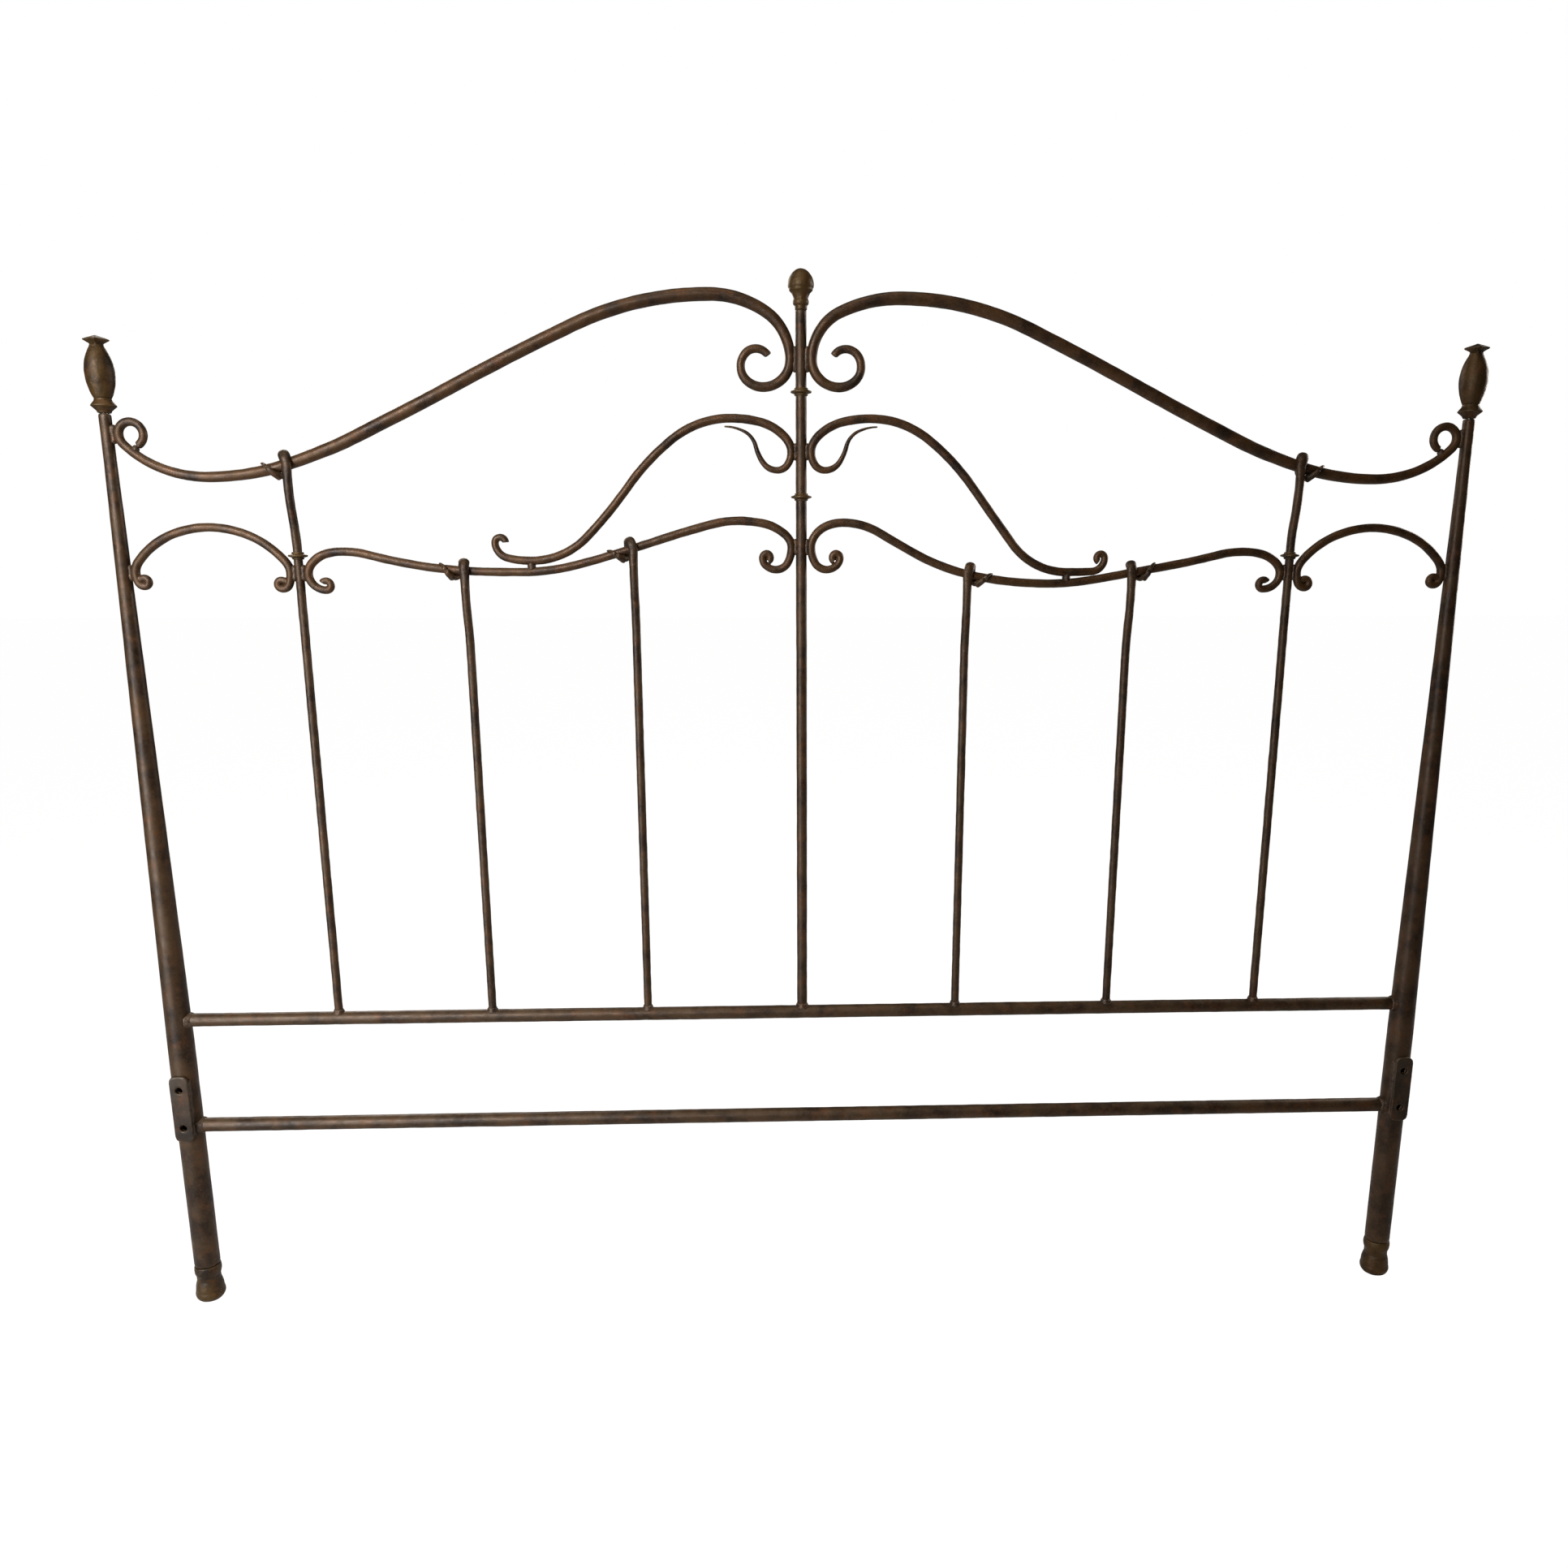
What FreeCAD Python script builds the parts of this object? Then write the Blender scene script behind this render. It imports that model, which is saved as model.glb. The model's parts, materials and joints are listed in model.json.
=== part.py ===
import FreeCAD, Part
import math
import os
from FreeCAD import Vector

os.makedirs("parts", exist_ok=True)

# A wrought-iron bed headboard, all its pieces welded into one rigid frame.
# Millimetres. +Z is up, +X is to the right seen from the front, and the front faces -Y.
# The feet stand at Z = 0 and the centre bar is at X = 0.
# Everything on one side is made on the +X side. The left-hand pieces are then mirrored.

# ---- overall sizes ----
post_spacing = 1530.0
total_height = 1242.0
upper_rail_z = 380.0
lower_rail_z = 241.0
bay = post_spacing / 8          # eight equal bays between the two posts
outer_x = 3 * bay - 4.0         # the outer spindles stand a little further in
panel_z = total_height - 325.0  # level where the scroll rods meet the spindles

# ---- bar and tube stock (radii) ----
spindle_r = 4.75
bar_r = 6.0
upper_rail_r = 7.95
lower_rail_r = 8.5
scroll_r = 4.75
arch_r = 7.0
arch_neck_r = 0.8 * arch_r      # the arch rod where it touches the centre bar
arch_loop_r = 0.77 * arch_r     # and where its loop touches the post
arch_tip_r = 0.61 * arch_r      # and at its two ends
weld_gap = 0.4                  # root gap that the weld fills between two rods

# ---- tapered posts ----
post_foot_r = 15.0
post_top_r = 6.5
post_wall = 3.0
post_bottom_z = 48.0
post_top_z = panel_z + 171.0
taper_start_z = 350.0
taper_end_z = post_top_z - 53.0
stud_r = 3.5

# ---- the drawn-out spindle tops ----
vine_gap = 0.05                 # clearance of the vine on the rod it is wound round
vine_turn = 440.0               # degrees of winding, from the front of the rod
vine_steps = 22
vine_reach = 30.0               # how far its tip ends up along the rod
hook_start = 3.4                # half thickness of the hook in front of the rod
hook_neck = 20.0                # length over which the spindle is flattened into it
sway_length = 96.0              # length over which the spindle moves forward to it

# ---- bed-rail bracket plates ----
plate_width = 22.0
plate_height = 86.0
plate_thick = 4.0
plate_mid_z = 270.0
bolt_spacing = 50.0
bolt_hole_r = 4.25

# ---- scroll ends ----
curl_r = 4.7                    # centre-line radius of a tight curl
curl_tip_r = 3.8                # rod radius at the end of a curl

foot_rise = 13.5                # height over the panel level where a rod turns down to its foot
foot_in = 6.0                   # how far in from its foot it is there
foot_slope = 50.0               # and its slope

# Crests of the top arches, as distance in bays and height over the panel level.
left_crest = (0.52, 298.0)
right_crest = (0.58, 295.0)

# Wave rods, from the centre bar outwards: distance in bays, height over the panel
# level, and slope in degrees. The two sides differ, as on the hand-bent original.
left_wave = [(0.375, 57.0, 0), (0.66, 46.5, -16), (1, 26.5, -17.5), (1.68, 0.0, 0),
             (2, 1.5, 3.5), (2.42, 12.5, 12), (2.718, 23.0, 0)]
right_wave = [(0.25, 55.0, 0), (0.665, 22.5, -29), (1, -2.5, -13.5), (1.5, -13.5, 0),
              (2, -1.5, 11), (2.405, 13.0, 13), (2.69, 22.5, 0)]


# ---------------------------------------------------------------- bent-rod routes
def toward(degrees):
    """Unit vector in the XZ plane, measured from +X towards +Z."""
    a = math.radians(degrees)
    return Vector(math.cos(a), 0, math.sin(a))


def left_of(way):
    return Vector(-way.z, 0, way.x)


def turned(v, angle):
    c, s = math.cos(angle), math.sin(angle)
    return Vector(v.x * c - v.z * s, 0, v.x * s + v.z * c)


class Bend:
    """One stretch of a rod's centre line: an arc, or a straight run when bow is 0.
    bow is one over the radius, positive where the rod turns left."""

    def __init__(self, start, way, length, bow):
        self.start = start
        self.way = way
        self.length = length
        self.bow = bow

    def at(self, s):
        if self.bow == 0:
            return self.start + self.way * s, self.way
        arm = left_of(self.way) * (1 / self.bow)
        return self.start + arm - turned(arm, s * self.bow), turned(self.way, s * self.bow)

    def backwards(self):
        point, way = self.at(self.length)
        return Bend(point, way * -1, self.length, -self.bow)


def arc_to(start, way, goal):
    """The arc that leaves start along way and passes through goal."""
    chord = goal - start
    across = chord.dot(left_of(way))
    if abs(across) < 1e-6 * chord.Length:
        return Bend(start, way, chord.Length, 0)
    bow = 2 * across / chord.dot(chord)
    sweep = 2 * math.atan2(across, chord.dot(way))
    return Bend(start, way, sweep / bow, bow)


class Route:
    """A rod's centre line in the XZ plane: arcs that run smoothly into each other."""

    def __init__(self, x, z, slope):
        self.point = Vector(x, 0, z)
        self.way = toward(slope)
        self.bends = []
        self.marks = []

    def add(self, bend):
        self.bends.append(bend)
        self.point, self.way = bend.at(bend.length)

    def to(self, x, z, slope):
        """Two tangent arcs to a point, arriving at the given slope."""
        goal = Vector(x, 0, z)
        end_way = toward(slope)
        span = goal - self.point
        spread = 2 * (1 - self.way.dot(end_way))
        forward = span.dot(self.way + end_way)
        if spread < 1e-9:
            reach = span.dot(span) / (2 * forward)
        else:
            reach = (math.sqrt(forward ** 2 + spread * span.dot(span)) - forward) / spread
        middle = (self.point + goal + (self.way - end_way) * reach) * 0.5
        self.add(arc_to(self.point, self.way, middle))
        self.add(arc_to(self.point, self.way, goal))
        self.marks.append(self.length())
        return self

    def sweep(self, x, z):
        """A quarter of an ellipse, from a level place to an upright one at (x, z)."""
        start = self.point
        wide = x - start.x
        high = z - start.z
        for part in (60, 90):
            c, s = math.cos(math.radians(part)), math.sin(math.radians(part))
            slope = math.degrees(math.atan2(high * s, wide * c))
            self.to(start.x + wide * s, start.z + high * (1 - c), slope)
        return self

    def curl(self, radius, degrees):
        """An arc of a given radius. Positive degrees turn left."""
        sweep = math.radians(degrees)
        self.add(Bend(self.point, self.way, abs(sweep) * radius, math.copysign(1 / radius, sweep)))
        return self

    def length(self):
        return sum(b.length for b in self.bends)

    def at(self, s):
        for b in self.bends[:-1]:
            if s <= b.length:
                return b.at(s)
            s -= b.length
        return self.bends[-1].at(s)

    def height_at(self, x, low, high):
        """Height of the rod over a place between two distances along it."""
        for _ in range(50):
            middle = (low + high) / 2
            if self.at(middle)[0].x < x:
                low = middle
            else:
                high = middle
        return self.at(low)[0].z


def joined(back, front):
    """One route from two that leave the same point in opposite directions."""
    whole = Route(0, 0, 0)
    for bend in reversed(back.bends):
        whole.add(bend.backwards())
    for bend in front.bends:
        whole.add(bend)
    whole.marks = [back.length() - m for m in reversed(back.marks)]
    whole.marks.append(back.length())
    whole.marks.extend(back.length() + m for m in front.marks)
    return whole


# ---------------------------------------------------------------- solids from routes
def placed(outline, point, way, side):
    """An outline drawn about Z, stood at a point across its way with its X along side."""
    turn = FreeCAD.Rotation(side, way.cross(side), way, "ZXY")
    outline.Placement = FreeCAD.Placement(point, turn)
    return outline


def ring(point, way, r, side=Vector(0, 1, 0)):
    return placed(Part.Circle(Vector(0, 0, 0), Vector(0, 0, 1), r).toShape(), point, way, side)


def oval(point, way, side, wide, thick):
    return placed(Part.Ellipse(Vector(0, 0, 0), wide, thick).toShape(), point, way, side)


def tube_sides(bends, r):
    """The outside faces of a rod of one thickness along a chain of bends."""
    faces = []
    for b in bends:
        start = ring(b.start, b.way, r)
        if b.bow == 0:
            faces.append(start.extrude(b.way * b.length))
        else:
            centre = b.start + left_of(b.way) * (1 / b.bow)
            faces.append(start.revolve(centre, Vector(0, -1, 0), math.degrees(b.length * b.bow)))
    return faces


def lofted_sides(outlines, stretch=6):
    """The faces through a row of outlines, made in stretches that share an outline."""
    faces = []
    for first in range(0, len(outlines) - 1, stretch):
        part = outlines[first:first + stretch + 1]
        faces.extend(Part.makeLoft([Part.Wire([o]) for o in part], False, False).Faces)
    return faces


def tapered_sides(bends, r0, r1):
    """The outside faces of a rod along a chain of bends, its radius changing evenly."""
    total = sum(b.length for b in bends)
    done = 0
    faces = []
    for b in bends:
        steps = max(2, math.ceil(abs(b.length * b.bow) / math.radians(25)))
        outlines = []
        for k in range(steps + 1):
            s = b.length * k / steps
            point, way = b.at(s)
            outlines.append(ring(point, way, r0 + (r1 - r0) * (done + s) / total))
        faces.extend(lofted_sides(outlines, steps))
        done += b.length
    return faces


def closed(sides, *ends):
    """A solid from its side faces and its two end outlines."""
    caps = [Part.Face(Part.Wire([end])) for end in ends]
    shell = Part.makeShell(sides + caps)
    shell.sewShape()
    solid = Part.Solid(shell)
    if solid.Volume < 0:
        solid.reverse()
    return solid


def turned_profile(points, x=0.0):
    """A solid of revolution about an upright axis at x, from (radius, height) points.
    Three-item entries (radius, height, (radius, height)) reach a point through an arc."""
    edges = []
    last = Vector(points[0][0], 0, points[0][1])
    for item in points[1:]:
        goal = Vector(item[0], 0, item[1])
        if len(item) == 3:
            through = Vector(item[2][0], 0, item[2][1])
            edges.append(Part.Arc(last, through, goal).toShape())
        else:
            edges.append(Part.makeLine(last, goal))
        last = goal
    first = Vector(points[0][0], 0, points[0][1])
    edges.append(Part.makeLine(last, first))
    face = Part.Face(Part.Wire(edges))
    solid = face.revolve(Vector(0, 0, 0), Vector(0, 0, 1), 360)
    solid.translate(Vector(x, 0, 0))
    return solid


def capsule(x, z, r, half_length):
    """A short upright rod with rounded ends, each with a tiny flat at its tip."""
    tip = 0.4
    rise = half_length + math.sqrt(r * r - tip * tip)
    slant = r * math.sqrt(0.5)
    return turned_profile([
        (0, z - rise), (tip, z - rise), (r, z - half_length, (slant, z - half_length - slant)),
        (r, z + half_length), (tip, z + rise, (slant, z + half_length + slant)), (0, z + rise),
    ], x)


def mirrored(shape):
    return shape.mirror(Vector(0, 0, 0), Vector(1, 0, 0))


# ---------------------------------------------------------------- posts and feet
def post_r(z):
    """Outer radius of the post at a height."""
    share = (z - taper_start_z) / (taper_end_z - taper_start_z)
    share = min(1.0, max(0.0, share))
    return post_foot_r + (post_top_r - post_foot_r) * share


def post():
    foot_bore = post_foot_r - post_wall
    return turned_profile([
        (foot_bore, post_bottom_z), (post_foot_r, post_bottom_z),
        (post_foot_r, taper_start_z), (post_top_r, taper_end_z),
        (post_top_r, post_top_z), (stud_r, post_top_z),
        (stud_r, taper_end_z), (foot_bore, taper_start_z),
    ], post_spacing / 2)


def foot():
    """Cast bulb foot with a neck and a bead, and a plug up inside the post."""
    plug_r = post_foot_r - post_wall
    bulb_r = post_foot_r + 1.7
    return turned_profile([
        (0, 0), (11.0, 0),
        (bulb_r, 13.0, (16.6, 5.0)), (post_foot_r - 1.0, 28.0, (bulb_r - 0.9, 21.5)),
        (post_foot_r - 1.0, 34.0), (post_foot_r, post_bottom_z, (post_foot_r + 0.9, 41.0)),
        (plug_r, post_bottom_z), (plug_r, post_bottom_z + 28.0),
        (0, post_bottom_z + 28.0),
    ], post_spacing / 2)


def post_collar():
    """Cast collar with a sharp rim, seated on top of the post."""
    z = post_top_z
    return turned_profile([
        (stud_r, z), (post_top_r, z), (7.6, z + 2.5), (13.2, z + 7.5),
        (9.0, z + 13.0), (8.6, z + 15.5), (stud_r, z + 15.5),
    ], post_spacing / 2)


def post_finial():
    """Cast vase with a flared square cap, bored from below for its stud."""
    z = post_top_z + 15.5
    vase = turned_profile([
        (stud_r, z), (8.8, z), (14.8, z + 26.0, (12.9, z + 11.5)),
        (7.4, z + 53.0, (12.3, z + 42.0)), (7.0, z + 55.0), (0, z + 55.0),
        (0, z + 18.0), (stud_r, z + 18.0),
    ])
    squares = []
    for half, height in ((4.6, 54.0), (5.2, 56.5), (9.6, 60.0), (9.6, 61.0)):
        corner = Vector(half, half, z + height)
        corners = [FreeCAD.Rotation(Vector(0, 0, 1), 90 * k).multVec(corner) for k in range(5)]
        squares.append(Part.makePolygon(corners))
    cap = Part.makeLoft(squares, True, True)
    roof = Part.makeLoft([squares[-1], Part.Vertex(0, 0, z + 65.5)], True, True)
    cap = cap.fuse(roof)
    cap.rotate(Vector(0, 0, 0), Vector(0, 0, 1), 25)
    finial = vase.fuse(cap)
    finial.translate(Vector(post_spacing / 2, 0, 0))
    return finial


def finial_stud():
    """Plain stud that joins post, collar and finial."""
    bottom = post_top_z - 30.0
    return Part.makeCylinder(stud_r, post_top_z + 33.5 - bottom, Vector(post_spacing / 2, 0, bottom))


# ---------------------------------------------------------------- rails and centre bar
def rail(z, r, posts):
    bar = Part.makeCylinder(r, post_spacing, Vector(-post_spacing / 2, 0, z), Vector(1, 0, 0))
    for solid_post in posts:
        bar = bar.cut(solid_post)
    return bar


def solid_post_outline(side):
    """The post's outside with no bore, to shape what meets it."""
    shape = turned_profile([
        (0, post_bottom_z), (post_foot_r, post_bottom_z), (post_foot_r, taper_start_z),
        (post_top_r, taper_end_z), (post_top_r, post_top_z), (0, post_top_z),
    ], post_spacing / 2)
    return mirrored(shape) if side < 0 else shape


def centre_bar(upper_rail):
    shaft_top = total_height - 43.0
    bar = Part.makeCylinder(bar_r, shaft_top - upper_rail_z, Vector(0, 0, upper_rail_z))
    tenon = Part.makeCylinder(bar_r - 2.0, 14.0, Vector(0, 0, shaft_top))
    return bar.fuse(tenon).cut(upper_rail)


def centre_finial():
    """Cast acorn with a ring under its cup, bored for the bar's tenon."""
    z = total_height - 43.0
    bore = bar_r - 2.0
    return turned_profile([
        (bore, z), (bar_r + 0.6, z), (bar_r + 0.9, z + 5.0), (8.6, z + 8.0, (8.4, z + 6.0)),
        (7.8, z + 10.5, (8.6, z + 9.8)), (13.0, z + 20.0, (9.2, z + 15.5)), (13.0, z + 22.0),
        (14.2, z + 24.0), (9.6, z + 37.8, (13.2, z + 32.2)), (1.6, z + 42.7, (5.6, z + 41.2)),
        (0.8, z + 43.0), (0, z + 43.0), (0, z + 14.0), (bore, z + 14.0),
    ])


def bar_ring(r, x, z):
    """Thin sharp-edged collar shrunk on to a bar."""
    return turned_profile([
        (r, z - 4.0), (r + 1.4, z - 4.0), (r + 1.8, z - 1.8), (r + 5.6, z - 0.8),
        (r + 5.6, z + 0.8), (r + 1.8, z + 1.8), (r + 1.4, z + 4.0), (r, z + 4.0),
    ], x)


# ---------------------------------------------------------------- scroll rods
def top_arch_route(crest):
    """From the scroll by the centre bar, over the crest, down and round the loop at the post."""
    crest_x = crest[0] * bay
    crest_z = panel_z + crest[1]
    touch_x = bar_r + weld_gap + arch_neck_r
    scroll = Route(crest_x, crest_z, 180)
    scroll.to(touch_x, panel_z + 231.0, -90)
    scroll.to(touch_x + 30.5, panel_z + 201.5, 0)
    scroll.to(touch_x + 55.0, panel_z + 223.5, 90)
    scroll.to(touch_x + 38.0, panel_z + 242.0, 180)
    scroll.to(touch_x + 24.5, panel_z + 235.0, 235)
    post_x = post_spacing / 2
    loop_z = panel_z + 149.0
    loop_x = post_x - post_r(loop_z) - weld_gap - arch_loop_r
    arm = Route(crest_x, crest_z, 0)
    arm.to(2.05 * bay, panel_z + 197.5, -27)
    arm.to(2.6 * bay, panel_z + 146.5, -25.5)
    arm.to(outer_x, panel_z + 118.5, -18)
    arm.to(3.46 * bay, panel_z + 104.0, 0)
    arm.to(loop_x - 14.0, panel_z + 129.5, 38)
    arm.to(loop_x, loop_z, 90)
    arm.curl(1.91 * arch_r, 243)
    return joined(scroll, arm)


def split(bends, s):
    """The bends before and after the mark s, where one bend ends and the next begins."""
    done = 0
    for index, bend in enumerate(bends):
        if done >= s - 1e-6:
            return bends[:index], bends[index:]
        done += bend.length
    return bends, []


def shaped_rod(route, r, first_mark, start_r, last_mark, end_r):
    """A rod of radius r between two marks of its route, drawn out thinner to both ends."""
    head, rest = split(route.bends, route.marks[first_mark])
    body, tail = split(rest, route.marks[last_mark] - route.marks[first_mark])
    sides = tapered_sides(head, start_r, r) + tube_sides(body, r) + tapered_sides(tail, r, end_r)
    start, start_way = route.at(0)
    end, end_way = route.at(route.length())
    return closed(sides, ring(start, start_way, start_r), ring(end, end_way, end_r))


def wave_route(wave):
    """From the curl by the centre bar, along the wave, to the curl by the outer spindle."""
    touch_x = bar_r + weld_gap + scroll_r
    first_x, first_z, first_slope = wave[0]
    inner = Route(first_x * bay, panel_z + first_z, 180)
    inner.sweep(touch_x, panel_z + 28.0)
    inner.to(touch_x + 18.0, panel_z + 2.5, 0)
    inner.to(touch_x + 33.5, panel_z + 16.0, 90)
    inner.curl(curl_r, 240)
    outer = Route(first_x * bay, panel_z + first_z, 0)
    for share, z, slope in wave[1:]:
        outer.to(share * bay, panel_z + z, slope)
    end_x = outer_x - spindle_r - weld_gap - scroll_r
    outer.sweep(end_x, panel_z - 2.0)
    outer.to(end_x - 19.0, panel_z - 20.0, 180)
    outer.curl(curl_r + 0.6, -235)
    return joined(inner, outer)


def s_scroll_route(wave, tight):
    """From the leaf by the centre bar, over the shoulder, down to the curl on the wave rod."""
    crown_x = 0.41 * bay
    crown_z = panel_z + 168.4
    touch_x = bar_r + weld_gap + scroll_r
    leaf = Route(crown_x, crown_z, 180)
    leaf.sweep(touch_x, panel_z + 132.5)
    leaf.to(touch_x + 16.0, panel_z + 112.5, 0)
    leaf.to(touch_x + 40.0, panel_z + 138.5, 76)
    leaf.to(touch_x + 75.0, panel_z + 159.5, 0)
    foot_x = 1.61 * bay
    foot_z = wave.height_at(foot_x, wave.marks[3], wave.marks[-2]) + 2 * scroll_r + 2.8
    rod = Route(crown_x, crown_z, 0)
    rod.to(1.02 * bay, panel_z + 95.0, -53)
    rod.to(foot_x, foot_z, 0)
    if tight:
        rod.to(foot_x + 44.0, foot_z + 16.0, 90)
        rod.curl(curl_r, 240)
    else:
        rod.to(foot_x + 40.0, foot_z + 20.0, 90)
        rod.curl(curl_r + 1.3, 175)
    return joined(leaf, rod), Vector(foot_x, 0, foot_z)


def bay_arch_route():
    """An arch between the outer spindle and the post, with a curl inside each foot."""
    foot_z = panel_z + 1.0
    inner_x = outer_x + spindle_r + weld_gap + scroll_r
    post_side = post_spacing / 2 - post_r(foot_z) - weld_gap - scroll_r
    crown_x = (inner_x + post_side) / 2
    inner = Route(crown_x, panel_z + 49.5, 180)
    inner.to(inner_x + foot_in, panel_z + foot_rise, 180 + foot_slope)
    inner.to(inner_x, foot_z - 2.0, -90)
    inner.to(inner_x + 10.5, panel_z - 18.5, 0)
    inner.curl(curl_r + 0.3, 240)
    outer = Route(crown_x, panel_z + 49.5, 0)
    outer.to(post_side - foot_in, panel_z + foot_rise, -foot_slope)
    outer.to(post_side, foot_z - 2.0, -90)
    outer.to(post_side - 8.5, panel_z - 15.5, 180)
    outer.curl(curl_r, -235)
    return joined(inner, outer)


# ---------------------------------------------------------------- spindles
def spindle(x, upper_rail, host, mark, host_r, host_rod):
    """A round spindle whose drawn-out top hooks over a rod and winds outwards round it."""
    along = host.marks[mark]
    top = host.at(along)[0].z
    forward = host_r + hook_start + vine_gap
    sway = Route(0, upper_rail_z, 90)
    sway.to(0, top - sway_length, 90)
    sway.to(forward, top - hook_neck, 90)
    stem = Part.makeShell(tube_sides(sway.bends, spindle_r))
    stem.rotate(Vector(0, 0, 0), Vector(0, 0, 1), -90)
    stem.translate(Vector(x, 0, 0))
    right = Vector(1, 0, 0)
    up_z = Vector(0, 0, 1)
    neck = [ring(Vector(x, -forward, top - hook_neck), up_z, spindle_r, right)]
    for share in (0.5, 1.0):
        wide, thick = [spindle_r + (size - spindle_r) * share for size in vine_size(0)]
        neck.append(oval(Vector(x, -forward, top - hook_neck * (1 - share)), up_z, right, wide, thick))
    outlines = [neck[-1]]
    for k in range(1, vine_steps + 1):
        turn = vine_turn * k / vine_steps
        angle = math.radians(turn)
        wide, thick = vine_size(turn)
        centre, rod_way = host.at(along + vine_drift(turn))
        up = left_of(rod_way)
        out = up * math.sin(angle) - Vector(0, 1, 0) * math.cos(angle)
        ahead = up * math.cos(angle) + Vector(0, 1, 0) * math.sin(angle)
        way = ahead * (host_r + thick) + rod_way * vine_pitch(turn)
        way.normalize()
        side = rod_way - way * rod_way.dot(way)
        side.normalize()
        outlines.append(oval(centre + out * (host_r + thick + vine_gap), way, side, wide, thick))
    base = ring(Vector(x, 0, upper_rail_z), up_z, spindle_r, right)
    sides = stem.Faces + lofted_sides(neck) + lofted_sides(outlines, 5)
    whole = closed(sides, base, outlines[-1])
    return whole.cut(upper_rail).cut(host_rod)


def blend(value, stations):
    """Straight-line reading between (place, amount) stations."""
    for (a, fa), (b, fb) in zip(stations, stations[1:]):
        if value <= b:
            return fa + (fb - fa) * (value - a) / (b - a)
    return stations[-1][1]


def vine_size(angle):
    """Half width and half thickness of the vine at an angle round the rod."""
    wide = blend(angle, [(0, 5.4), (85, 6.1), (180, 5.2), (290, 4.3), (vine_turn, 1.2)])
    thick = blend(angle, [(0, hook_start), (85, 4.7), (180, 3.8), (290, 3.4), (vine_turn, 1.1)])
    return wide, thick


def vine_drift(angle):
    """How far the vine has moved along the rod at an angle: slowly at first."""
    return vine_reach * (angle / vine_turn) ** 1.6


def vine_pitch(angle):
    """The same movement for each radian of turn."""
    return math.degrees((vine_drift(angle + 4) - vine_drift(max(0, angle - 4))) / 8)


# ---------------------------------------------------------------- welds and plates
def rail_weld(z, r, post_outline, rail_solid):
    """Fillet round the end of a rail where it meets the post."""
    reach = post_spacing / 2 - post_r(z)
    cone = Part.makeCone(r + 2.6, r, 7.0, Vector(reach + 3.5, 0, z), Vector(-1, 0, 0))
    return cone.cut(post_outline).cut(rail_solid)


def foot_weld(x, r, upper_rail, bar):
    """Fillet round the foot of a spindle on the upper rail."""
    cone = Part.makeCone(r + 2.0, r, 5.5, Vector(x, 0, upper_rail_z + upper_rail_r - 1.5))
    return cone.cut(upper_rail).cut(bar)


def bead(x, z, r, half_length, *rods):
    """Weld that fills the narrow space between two rods that nearly touch."""
    lump = capsule(x, z, r, half_length)
    for rod in rods:
        lump = lump.cut(rod)
    return lump


def bracket_plate():
    """Flat plate on the front of the post, with rounded ends and two bolt holes."""
    front = -post_foot_r - plate_thick
    half = plate_width / 2
    end = 7.0
    low = plate_mid_z - plate_height / 2
    plate = Part.makeBox(plate_width, plate_thick, plate_height, Vector(-half, front, low))
    upright = [e for e in plate.Edges if abs(e.CenterOfMass.x) > half - 0.1
               and abs(e.CenterOfMass.z - plate_mid_z) > plate_height / 2 - 0.1
               and abs(e.CenterOfMass.y - front - plate_thick / 2) < 0.1]
    plate = plate.makeFillet(end, upright)
    plate.translate(Vector(post_spacing / 2, 0, 0))
    for hole in bolt_holes(plate_thick + 1.0):
        plate = plate.cut(hole)
    return plate


def bolt_holes(depth):
    """The two bolt holes, drilled from the plate's front face."""
    front = -post_foot_r - plate_thick - 0.5
    holes = []
    for side in (-1, 1):
        start = Vector(post_spacing / 2, front, plate_mid_z + side * bolt_spacing / 2)
        holes.append(Part.makeCylinder(bolt_hole_r, depth, start, Vector(0, 1, 0)))
    return holes


def plate_weld(side, post_outline):
    """Bead down one long edge of a plate, between its back and the round of the post."""
    long = plate_height - 16.0
    x = post_spacing / 2 + side * (plate_width / 2 - 1.8)
    y = -post_foot_r
    block = Part.makeBox(3.6, 5.6, long, Vector(x - 1.8, y, plate_mid_z - long / 2))
    return block.cut(post_outline)


def scroll_welds(wave, s_scroll, arch, bay_arch, s_foot, loop_end, bar, outer_spindle, post_outline):
    """Every weld that holds one side's scroll rods."""
    bar_x = bar_r + weld_gap / 2
    left_x = outer_x - spindle_r - weld_gap / 2
    right_x = outer_x + spindle_r + weld_gap / 2
    foot_z = panel_z - 1.0
    loop_z = panel_z + 149.0
    half = scroll_r + 1.4
    saddle = Part.makeCylinder(4.2, 2 * half, s_foot - Vector(0, 0, 2 * half))
    return Part.makeCompound([
        bead(bar_x, panel_z + 231.0, 4.4, 9.0, bar, arch),
        bead(bar_x, panel_z + 132.5, 3.8, 5.0, bar, s_scroll),
        bead(bar_x, panel_z + 28.0, 3.8, 5.0, bar, wave),
        bead(left_x, foot_z, 3.8, 5.0, outer_spindle, wave),
        bead(right_x, foot_z, 3.8, 5.0, outer_spindle, bay_arch),
        bead(post_spacing / 2 - post_r(foot_z) - weld_gap / 2, foot_z, 3.8, 5.0, post_outline, bay_arch),
        bead(post_spacing / 2 - post_r(loop_z) - weld_gap / 2, loop_z, 4.0, 6.0, post_outline, arch),
        saddle.cut(wave).cut(s_scroll),
        bead(loop_end.x, loop_end.z, 3.4, 0.6, arch),
    ])


# ---------------------------------------------------------------- the assembly
def write(name, shape):
    if len(shape.Solids) == 1:
        shape = shape.Solids[0]
    shape.exportStep("parts/" + name + ".step")


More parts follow.
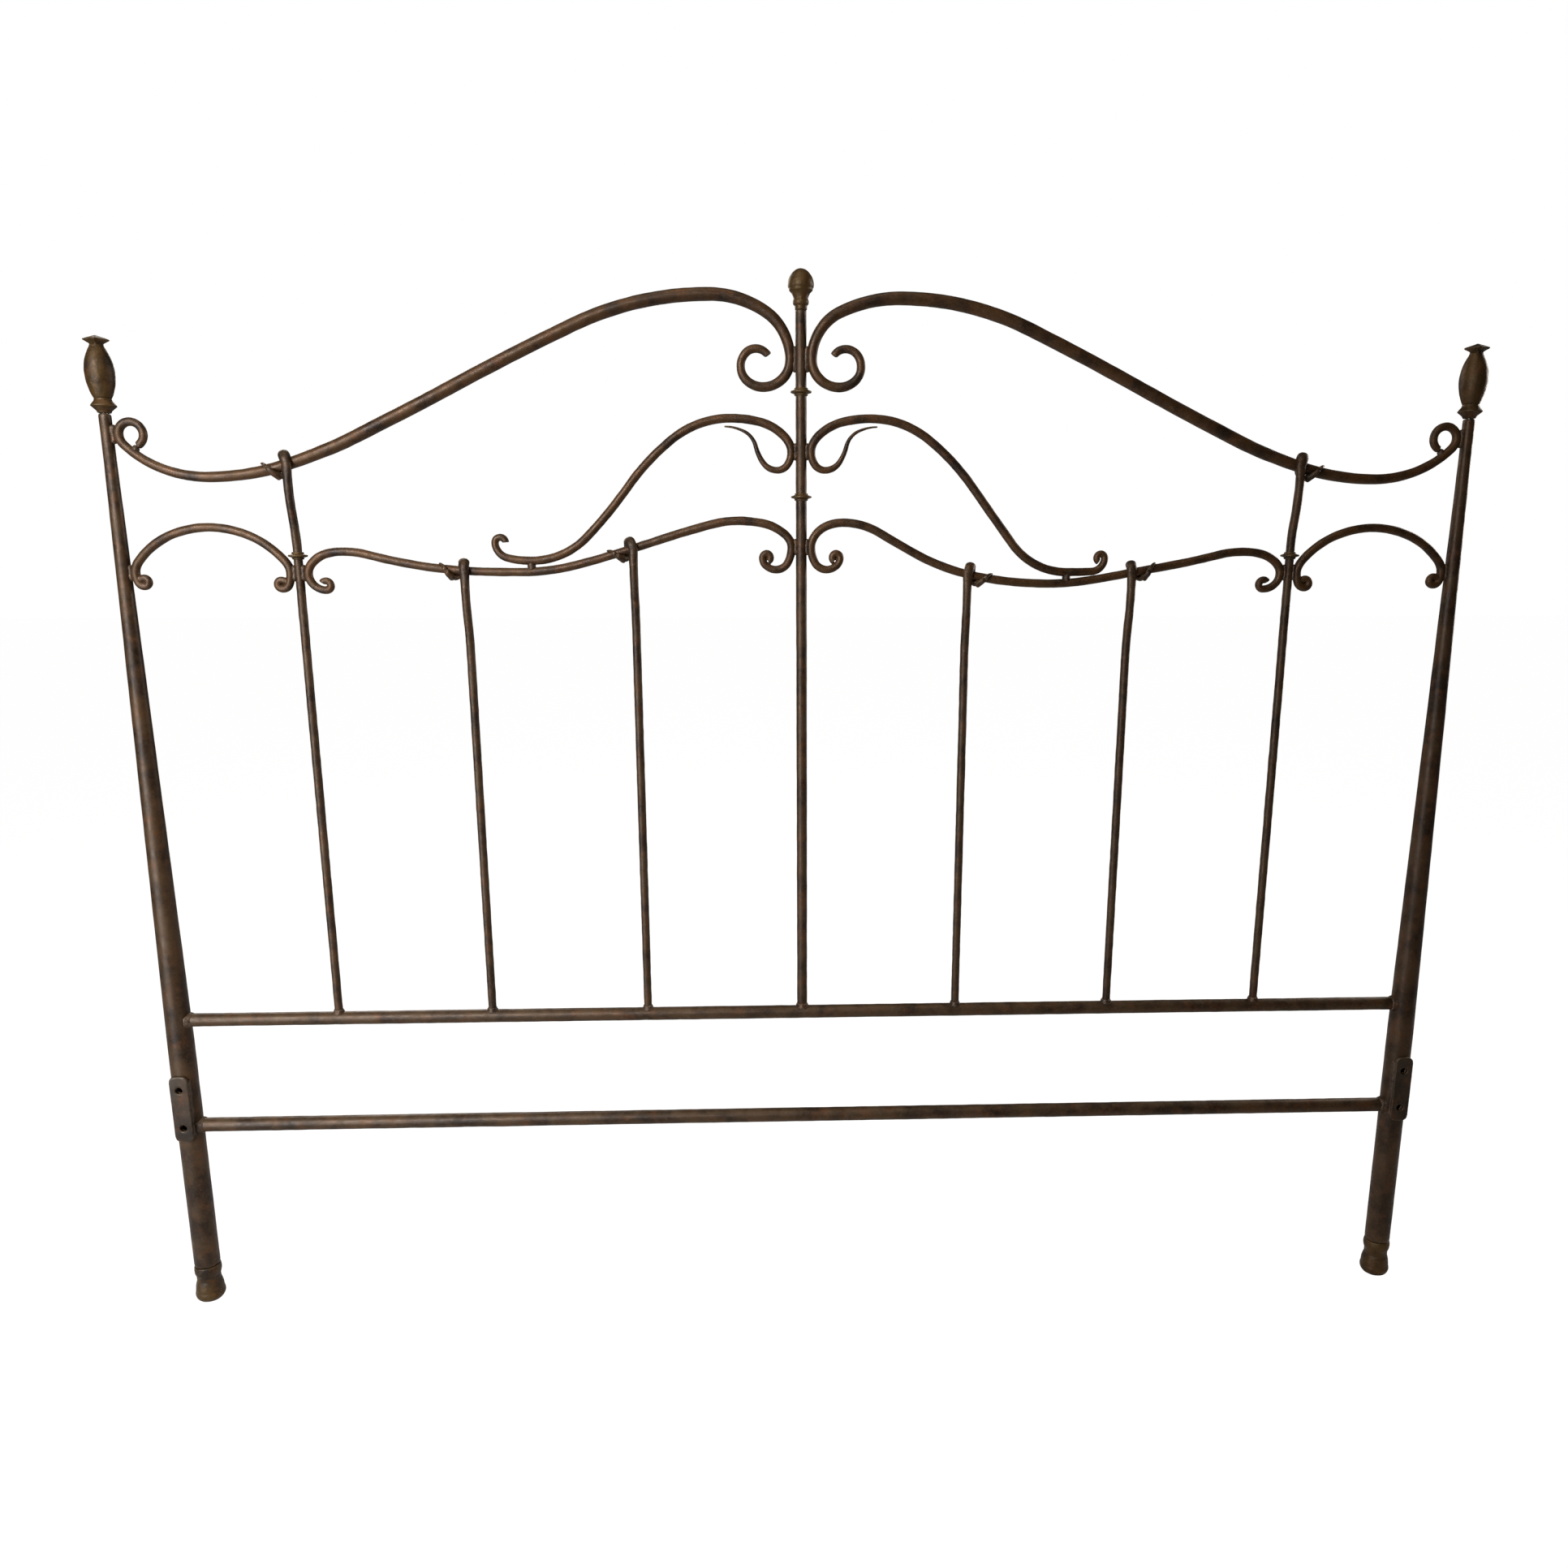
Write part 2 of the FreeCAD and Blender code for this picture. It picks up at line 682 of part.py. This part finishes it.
def make_side(name, wave_stations, crest, tight_curl, finish, upper_rail, lower_rail, bar):
    """All the pieces of one side. finish turns a right-hand piece into this side's."""
    outline = solid_post_outline(1)
    the_post = post()
    for hole in bolt_holes(plate_thick + post_wall + 5.0):
        the_post = the_post.cut(hole)
    wave_line = wave_route(wave_stations)
    s_line, s_foot = s_scroll_route(wave_line, tight_curl)
    arch_line = top_arch_route(crest)
    tip, tip_way = arch_line.at(arch_line.length())
    loop_end = tip + turned(tip_way, math.radians(-27)) * (1.1 * arch_tip_r)
    wave = shaped_rod(wave_line, scroll_r, 2, curl_tip_r, 12, curl_tip_r)
    s_scroll = shaped_rod(s_line, scroll_r, 3, 0.9, 7, curl_tip_r)
    arch = shaped_rod(arch_line, arch_r, 5, arch_tip_r, 7, arch_tip_r)
    bay_arch = shaped_rod(bay_arch_route(), scroll_r, 1, curl_tip_r, 5, curl_tip_r)
    inner = spindle(bay, upper_rail, wave_line, 6, scroll_r, wave)
    middle = spindle(2 * bay, upper_rail, wave_line, 8, scroll_r, wave)
    outer = spindle(outer_x, upper_rail, arch_line, 8, arch_r - 0.3, arch)
    pieces = {
        "post": the_post,
        "foot": foot(),
        "post_collar": post_collar(),
        "post_finial": post_finial(),
        "finial_stud": finial_stud(),
        "top_arch": arch,
        "s_scroll": s_scroll,
        "wave_rod": wave,
        "bay_arch": bay_arch,
        "inner_spindle": inner,
        "middle_spindle": middle,
        "outer_spindle": outer,
        "outer_spindle_ring": bar_ring(spindle_r, outer_x, panel_z + 18.2),
        "bracket_plate": bracket_plate(),
        "bracket_welds": Part.makeCompound([plate_weld(s, outline) for s in (-1, 1)]),
        "scroll_welds": scroll_welds(
            wave, s_scroll, arch, bay_arch, s_foot, loop_end, bar, outer, outline),
        "rail_welds": Part.makeCompound([
            rail_weld(upper_rail_z, upper_rail_r, outline, upper_rail),
            rail_weld(lower_rail_z, lower_rail_r, outline, lower_rail)]),
        "spindle_foot_welds": Part.makeCompound([
            foot_weld(x, spindle_r, upper_rail, rod)
            for x, rod in ((bay, inner), (2 * bay, middle), (outer_x, outer))]),
    }
    for piece, shape in pieces.items():
        write(name + "_" + piece, finish(shape))


upper_rail = rail(upper_rail_z, upper_rail_r, [solid_post_outline(1), solid_post_outline(-1)])
lower_rail = rail(lower_rail_z, lower_rail_r, [solid_post_outline(1), solid_post_outline(-1)])
bar = centre_bar(upper_rail)
write("upper_rail", upper_rail)
write("lower_rail", lower_rail)
write("centre_bar", bar)
write("centre_finial", centre_finial())
write("centre_bar_foot_weld", foot_weld(0, bar_r, upper_rail, bar))
write("centre_bar_rings", Part.makeCompound([bar_ring(bar_r, 0, panel_z + z) for z in (83.2, 196.6)]))
make_side("right", right_wave, right_crest, True, lambda shape: shape, upper_rail, lower_rail, bar)
make_side("left", left_wave, left_crest, False, mirrored, upper_rail, lower_rail, bar)
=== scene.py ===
import json
import math

import bpy
import numpy as np
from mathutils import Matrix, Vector, noise


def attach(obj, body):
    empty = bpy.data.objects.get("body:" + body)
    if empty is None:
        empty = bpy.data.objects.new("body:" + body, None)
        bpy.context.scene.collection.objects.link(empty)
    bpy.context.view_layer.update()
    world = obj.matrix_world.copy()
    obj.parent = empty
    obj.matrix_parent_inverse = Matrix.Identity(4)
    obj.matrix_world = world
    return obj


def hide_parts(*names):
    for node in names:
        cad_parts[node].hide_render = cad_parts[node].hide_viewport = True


# A wrought-iron bed headboard, dressed on its CAD frame. Metres, +Z up, the front faces -Y.
# Each CAD node but the two hidden studs is copied, given an even skin of small faces and
# worked a little with hammer marks, casting grain or weld ripples, so nothing stays as smooth
# as machined bar. The studs keep their CAD meshes.

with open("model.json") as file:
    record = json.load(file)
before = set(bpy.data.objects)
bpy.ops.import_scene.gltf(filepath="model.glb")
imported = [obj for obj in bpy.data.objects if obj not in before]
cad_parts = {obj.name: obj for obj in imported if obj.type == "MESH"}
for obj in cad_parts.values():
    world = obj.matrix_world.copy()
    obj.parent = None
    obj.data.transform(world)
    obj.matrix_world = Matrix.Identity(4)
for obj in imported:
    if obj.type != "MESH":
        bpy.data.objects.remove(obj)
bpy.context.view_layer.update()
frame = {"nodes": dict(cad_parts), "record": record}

# ---- camera ----
camera_place = Vector((-0.0415, -1.3848, 0.9257))
camera_turn = (77.762, 0.027, -2.104)      # degrees about X, Y, Z
lens_mm = 27.02
sensor_mm = 36.0
camera_shift = (-0.01625, 0.0226)
clip_near = 0.01
clip_far = 100.0

# ---- studio ----
backdrop_white = 1.0
floor_glow = 0.985                         # share of the backdrop's white
floor_matt = (0.62, 0.61, 0.60)            # the floor as it reflects light on the object
floor_faint = (0.10, 0.10, 0.10)           # and as the camera sees it, over the glow
floor_size = 40.0
room_fill = 0.07
room_tint = (1.0, 0.90, 0.78)
LIGHTS = [
    # name, place, aim, size, watts, spread in degrees, colour
    ("key", (-1.3, -1.85, 1.6), (-0.75, 0.0, 0.75), 1.3, 18.0, 80, (0.94, 0.98, 1.0)),
    ("low", (-1.5, -1.5, 0.35), (-0.70, 0.0, 0.40), 1.0, 8.0, 90, (0.74, 0.88, 1.0)),
    ("top", (-0.5, -0.7, 3.0), (-0.3, 0.0, 0.3), 1.8, 12.0, 140, (1.0, 0.88, 0.72)),
    ("back", (-1.4, 2.2, 1.9), (-0.2, 0.0, 0.8), 1.6, 22.0, 160, (1.0, 0.96, 0.90)),
    ("side", (2.3, 1.1, 1.4), (0.5, 0.0, 0.7), 1.4, 22.0, 150, (1.0, 0.95, 0.88)),
]

# ---- how each kind of piece is worked ----
# skin: size of the small faces; soften: rounds of smoothing; swell: metres added back;
# dents: depth of the marks; grain: their size. Metres.
WORK = {
    "tube": dict(skin=0.0019, soften=7, swell=0.00022, dents=0.00018, grain=0.030),
    "bar": dict(skin=0.0012, soften=6, swell=0.00020, dents=0.00020, grain=0.018),
    "scroll": dict(skin=0.0008, soften=6, swell=0.00014, dents=0.00024, grain=0.013),
    "leaf": dict(skin=0.0005, soften=6, swell=0.00008, dents=0.00020, grain=0.011),
    "cast": dict(skin=0.0006, soften=5, swell=0.00008, dents=0.00018, grain=0.006),
    "ring": dict(skin=0.0004, soften=4, swell=0.00010, dents=0.00016, grain=0.005),
    "plate": dict(skin=0.0008, soften=7, swell=0.00012, dents=0.00012, grain=0.012),
    "weld": dict(skin=0.0005, soften=8, swell=0.00055, dents=0.00045, grain=0.0045),
}
smooth_factor = 0.5                        # how far one round of smoothing goes
fine_dents = 0.5                           # depth of the finer marks, as a share of the dents
fine_repeat = 2.1                          # and how many of them fit in one dent
SEED_STEP = (3.7, 1.3, 2.9)                # how far each piece's marks are from the last one's

# ---- how the patina is laid on ----
# pattern: noise as blotches for each metre, detail and roughness.
# range: the two values that are stretched apart, then what they give if not 0 and 1.
patch_pattern, patch_range = (26.0, 6.0, 0.62), (0.30, 0.62)
rust_pattern, rust_range = (75.0, 6.0, 0.65), (0.48, 0.76, 0.0, 0.7)
speck_pattern, speck_range = (420.0, 6.0, 0.7), (0.54, 0.72, 0.0, 0.35)
wear_pattern, wear_range = (150.0, 5.0, 0.7), (0.35, 0.62)
dust_pattern, dust_range = (60.0, 6.0, 0.7), (0.38, 0.60)
gloss_pattern, gloss_range = (110.0, 5.0, 0.6), (0.3, 0.7, 0.36, 0.54)
coarse_pattern = (190.0, 4.0, 0.55)
pit_pattern = (1100.0, 5.0, 0.7)
edge_low, edge_high = 0.505, 0.56          # pointiness of the raised edges
upward_range = (0.35, 1.0, 0.0, 0.25)      # how far a face looks up, and the dust it holds
hollow_painted_shade_range = (0.44, 0.495, 0.85, 0.0)    # pointiness of the hollows, and how far painted shade darkens them
hollow_painted_shade_tone = 0.45                        # colour of the painted shade in the hollows, as a share of the dark ground
coarse_strength, coarse_depth = 0.16, 0.0009
pit_depth = 0.0004
patina_metal = 0.40
patina_specular = 0.34

UMBER = (0.013, 0.0056, 0.0023)
BROWN = (0.064, 0.0280, 0.0088)
RUST = (0.090, 0.0310, 0.0090)
GREY_BROWN = (0.140, 0.092, 0.052)
OLIVE = (0.070, 0.035, 0.0080)
PATINAS = {
    # slot: body colour, rubbed colour, how far the edges are rubbed, strength of the pits
    "post_patina": ((0.056, 0.029, 0.013), GREY_BROWN, 0.55, 0.25),
    "bar_patina": ((0.056, 0.0295, 0.0135), GREY_BROWN, 0.50, 0.25),
    "scroll_patina": (BROWN, GREY_BROWN, 0.60, 0.25),
    "cast_patina": (OLIVE, (0.17, 0.12, 0.06), 0.55, 0.60),
    "plate_patina": ((0.040, 0.026, 0.016), GREY_BROWN, 0.6, 0.4),
    "weld_patina": ((0.058, 0.033, 0.019), (0.17, 0.12, 0.085), 0.7, 0.5),
}

# ---- the hidden studs' steel ----
steel_dark, steel_pale = (0.30, 0.29, 0.27), (0.50, 0.49, 0.46)
streak_pattern = (300.0, 4.0, 0.5)
streak_stretch = (1.0, 1.0, 0.06)
streak_range = (0.35, 0.65)
streak_gloss = (0.3, 0.7, 0.32, 0.5)

# Sockets of a colour Mix node, which go by number because their names repeat.
mix_share, mix_under, mix_over, mix_result = 0, 6, 7, 2


def kind_of(node):
    """Which way a node is worked, from its name."""
    if "weld" in node:
        return "weld"
    if "ring" in node:
        return "ring"
    if "plate" in node:
        return "plate"
    if node.endswith("_post"):
        return "tube"
    if "finial" in node or "foot" in node or "collar" in node:
        return "cast"
    if "s_scroll" in node:
        return "leaf"
    if "rail" in node or node == "centre_bar" or "top_arch" in node:
        return "bar"
    return "scroll"


def opaque(colour):
    return (*colour, 1.0)


def put(name, data):
    """A new object in the scene."""
    thing = bpy.data.objects.new(name, data)
    bpy.context.scene.collection.objects.link(thing)
    return thing


# ---------------------------------------------------------------- materials
class Graph:
    """A material's nodes, added by short calls."""

    def __init__(self, name):
        self.material = bpy.data.materials.new(name)
        self.material.use_nodes = True
        self.tree = self.material.node_tree
        self.tree.nodes.clear()
        self.place = self.add("ShaderNodeTexCoord").outputs["Object"]

    def add(self, kind, **settings):
        node = self.tree.nodes.new(kind)
        for name, value in settings.items():
            setattr(node, name, value)
        return node

    def join(self, output, node, socket):
        self.tree.links.new(output, node.inputs[socket])

    def noise(self, scale, detail, rough, stretch=None):
        """Noise of a scale given in blotches for each metre."""
        node = self.add("ShaderNodeTexNoise")
        node.inputs["Scale"].default_value = scale
        node.inputs["Detail"].default_value = detail
        node.inputs["Roughness"].default_value = rough
        source = self.place
        if stretch:
            mapping = self.add("ShaderNodeMapping")
            mapping.inputs["Scale"].default_value = stretch
            self.join(source, mapping, "Vector")
            source = mapping.outputs["Vector"]
        self.join(source, node, "Vector")
        return node.outputs["Fac"]

    def ramp(self, value, low, high, first=0.0, last=1.0):
        """A value stretched so that low gives first and high gives last."""
        node = self.add("ShaderNodeMapRange", interpolation_type="SMOOTHSTEP")
        self.join(value, node, "Value")
        node.inputs["From Min"].default_value = low
        node.inputs["From Max"].default_value = high
        node.inputs["To Min"].default_value = first
        node.inputs["To Max"].default_value = last
        return node.outputs["Result"]

    def blotches(self, pattern, limits):
        """Noise of one pattern, stretched."""
        return self.ramp(self.noise(*pattern), *limits)

    def times(self, a, b):
        node = self.add("ShaderNodeMath", operation="MULTIPLY")
        self.join(a, node, 0)
        self.join(b, node, 1)
        return node.outputs[0]

    def mix(self, share, under, over):
        """Two colours mixed. Each is a plain colour or another node's output."""
        node = self.add("ShaderNodeMix", data_type="RGBA")
        self.join(share, node, mix_share)
        for socket, colour in ((mix_under, under), (mix_over, over)):
            if isinstance(colour, tuple):
                node.inputs[socket].default_value = opaque(colour)
            else:
                self.join(colour, node, socket)
        return node.outputs[mix_result]

    def bump(self, pattern, strength, depth, under=None):
        """A surface roughened by noise, over another bump if there is one."""
        node = self.add("ShaderNodeBump")
        node.inputs["Strength"].default_value = strength
        node.inputs["Distance"].default_value = depth
        self.join(self.noise(*pattern), node, "Height")
        if under:
            self.join(under, node, "Normal")
        return node.outputs["Normal"]

    def finished(self, surface):
        """The material, with this shader as its surface."""
        output = self.add("ShaderNodeOutputMaterial")
        self.join(surface, output, "Surface")
        return self.material


def patina(name, body, rubbed, rubbing, grit):
    """Hand-rubbed iron: dark ground, mottled browns, rubbed lights on raised edges and tops,
    painted shade in the hollows.
    """
    g = Graph(name)
    colour = g.mix(g.blotches(patch_pattern, patch_range), UMBER, body)
    colour = g.mix(g.blotches(rust_pattern, rust_range), colour, RUST)
    colour = g.mix(g.blotches(speck_pattern, speck_range), colour, rubbed)
    worn = g.add("ShaderNodeNewGeometry")
    edge = g.ramp(worn.outputs["Pointiness"], edge_low, edge_high, 0.0, rubbing)
    colour = g.mix(g.times(edge, g.blotches(wear_pattern, wear_range)), colour, rubbed)
    facing = g.add("ShaderNodeSeparateXYZ")
    g.join(worn.outputs["Normal"], facing, "Vector")
    dust = g.ramp(facing.outputs["Z"], *upward_range)
    colour = g.mix(g.times(dust, g.blotches(dust_pattern, dust_range)), colour, rubbed)
    # painted shade: concave hollows are darkened towards a deeper umber
    hollow = g.ramp(worn.outputs["Pointiness"], *hollow_painted_shade_range)
    colour = g.mix(hollow, colour, tuple(part * hollow_painted_shade_tone for part in UMBER))
    shader = g.add("ShaderNodeBsdfPrincipled")
    g.join(colour, shader, "Base Color")
    g.join(g.blotches(gloss_pattern, gloss_range), shader, "Roughness")
    shader.inputs["Metallic"].default_value = patina_metal
    shader.inputs["Specular IOR Level"].default_value = patina_specular
    coarse = g.bump(coarse_pattern, coarse_strength, coarse_depth)
    g.join(g.bump(pit_pattern, grit, pit_depth, coarse), shader, "Normal")
    return g.finished(shader.outputs["BSDF"])


def plain_steel():
    """The hidden studs: drawn steel with fine lengthwise streaks."""
    g = Graph("drawn_steel")
    streaks = g.noise(*streak_pattern, streak_stretch)
    shader = g.add("ShaderNodeBsdfPrincipled")
    g.join(g.mix(g.ramp(streaks, *streak_range), steel_dark, steel_pale), shader, "Base Color")
    g.join(g.ramp(streaks, *streak_gloss), shader, "Roughness")
    shader.inputs["Metallic"].default_value = 1.0
    return g.finished(shader.outputs["BSDF"])


def pale_floor():
    """A pale matt floor that the camera sees as one with the backdrop."""
    g = Graph("pale_floor")
    matt = g.add("ShaderNodeBsdfDiffuse")
    matt.inputs["Color"].default_value = opaque(floor_matt)
    faint = g.add("ShaderNodeBsdfDiffuse")
    faint.inputs["Color"].default_value = opaque(floor_faint)
    glow = g.add("ShaderNodeEmission")
    glow.inputs["Color"].default_value = (1.0, 1.0, 1.0, 1.0)
    glow.inputs["Strength"].default_value = backdrop_white * floor_glow
    seen = g.add("ShaderNodeAddShader")
    g.join(faint.outputs[0], seen, 0)
    g.join(glow.outputs[0], seen, 1)
    path = g.add("ShaderNodeLightPath")
    choice = g.add("ShaderNodeMixShader")
    g.join(path.outputs["Is Camera Ray"], choice, 0)
    g.join(matt.outputs[0], choice, 1)
    g.join(seen.outputs[0], choice, 2)
    return g.finished(choice.outputs[0])


MATERIALS = {slot: patina(slot, *look) for slot, look in PATINAS.items()}
MATERIALS["stud_steel"] = plain_steel()


# ---------------------------------------------------------------- worked pieces
def even_skin(source, skin, soften):
    """A copy of a CAD mesh covered in small even faces and rubbed smooth."""
    draft = put("draft", source.data.copy())
    remesh = draft.modifiers.new("skin", "REMESH")
    remesh.mode = "VOXEL"
    remesh.voxel_size = skin
    smooth = draft.modifiers.new("soften", "SMOOTH")
    smooth.factor = smooth_factor
    smooth.iterations = soften
    graph = bpy.context.evaluated_depsgraph_get()
    mesh = bpy.data.meshes.new_from_object(draft.evaluated_get(graph))
    bpy.data.objects.remove(draft)
    return mesh


def work_surface(mesh, swell, dents, grain, shift):
    """Moves each point a little along its normal: broad marks with finer ones on top."""
    count = len(mesh.vertices)
    points = np.empty(count * 3)
    normals = np.empty(count * 3)
    mesh.vertices.foreach_get("co", points)
    mesh.vertices.foreach_get("normal", normals)
    points = points.reshape(-1, 3)
    lengths = np.empty(count)
    for index, point in enumerate(points):
        place = Vector(point) / grain + shift
        lengths[index] = noise.noise(place) + fine_dents * noise.noise(place * fine_repeat)
    points += normals.reshape(-1, 3) * (swell + dents * lengths)[:, None]
    mesh.vertices.foreach_set("co", points.reshape(-1))
    mesh.update()


def worked_piece(node, slot, seed):
    """Makes the finished stand-in for one CAD node."""
    work = WORK[kind_of(node)]
    mesh = even_skin(frame["nodes"][node], work["skin"], work["soften"])
    shift = Vector([seed * step for step in SEED_STEP])
    work_surface(mesh, work["swell"], work["dents"], work["grain"], shift)
    mesh.materials.clear()
    mesh.materials.append(MATERIALS[slot])
    mesh.shade_smooth()
    piece = put(node + "_worked", mesh)
    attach(piece, "root")
    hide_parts(node)


slots = {s["node"]: s["material_slot"] for s in frame["record"]["subparts"]}
for number, name in enumerate(sorted(frame["nodes"])):
    if "stud" in name:
        cad_piece = frame["nodes"][name]
        cad_piece.data.materials.clear()
        cad_piece.data.materials.append(MATERIALS[slots[name]])
    else:
        worked_piece(name, slots[name], number)


# ---------------------------------------------------------------- studio and camera
def make_floor():
    half = floor_size / 2
    mesh = bpy.data.meshes.new("floor")
    corners = [(-half, -half, 0), (half, -half, 0), (half, half, 0), (-half, half, 0)]
    mesh.from_pydata(corners, [], [(0, 1, 2, 3)])
    mesh.materials.append(pale_floor())
    floor = put("floor", mesh)


def make_world():
    """White to the camera, dim and warm as a source of light."""
    world = bpy.data.worlds.new("studio")
    bpy.context.scene.world = world
    world.use_nodes = True
    tree = world.node_tree
    tree.nodes.clear()
    fill = tree.nodes.new("ShaderNodeBackground")
    fill.inputs["Color"].default_value = opaque(room_tint)
    fill.inputs["Strength"].default_value = room_fill
    white = tree.nodes.new("ShaderNodeBackground")
    white.inputs["Color"].default_value = (1.0, 1.0, 1.0, 1.0)
    white.inputs["Strength"].default_value = backdrop_white
    path = tree.nodes.new("ShaderNodeLightPath")
    choice = tree.nodes.new("ShaderNodeMixShader")
    output = tree.nodes.new("ShaderNodeOutputWorld")
    tree.links.new(path.outputs["Is Camera Ray"], choice.inputs[0])
    tree.links.new(fill.outputs[0], choice.inputs[1])
    tree.links.new(white.outputs[0], choice.inputs[2])
    tree.links.new(choice.outputs[0], output.inputs["Surface"])


def make_light(name, place, aim, size, watts, spread, colour):
    light = bpy.data.lights.new(name, "AREA")
    light.shape = "DISK"
    light.size = size
    light.energy = watts
    light.spread = math.radians(spread)
    light.color = colour
    lamp = put(name, light)
    lamp.location = place
    lamp.rotation_mode = "QUATERNION"
    lamp.rotation_quaternion = (Vector(aim) - Vector(place)).to_track_quat("-Z", "Y")


def make_camera():
    lens = bpy.data.cameras.new("camera")
    lens.sensor_width = sensor_mm
    lens.lens = lens_mm
    lens.shift_x, lens.shift_y = camera_shift
    lens.clip_start = clip_near
    lens.clip_end = clip_far
    camera = put("camera", lens)
    camera.location = camera_place
    camera.rotation_euler = [math.radians(angle) for angle in camera_turn]
    bpy.context.scene.camera = camera


make_floor()
make_world()
for light in LIGHTS:
    make_light(*light)
make_camera()
bpy.context.scene.view_settings.view_transform = "Standard"
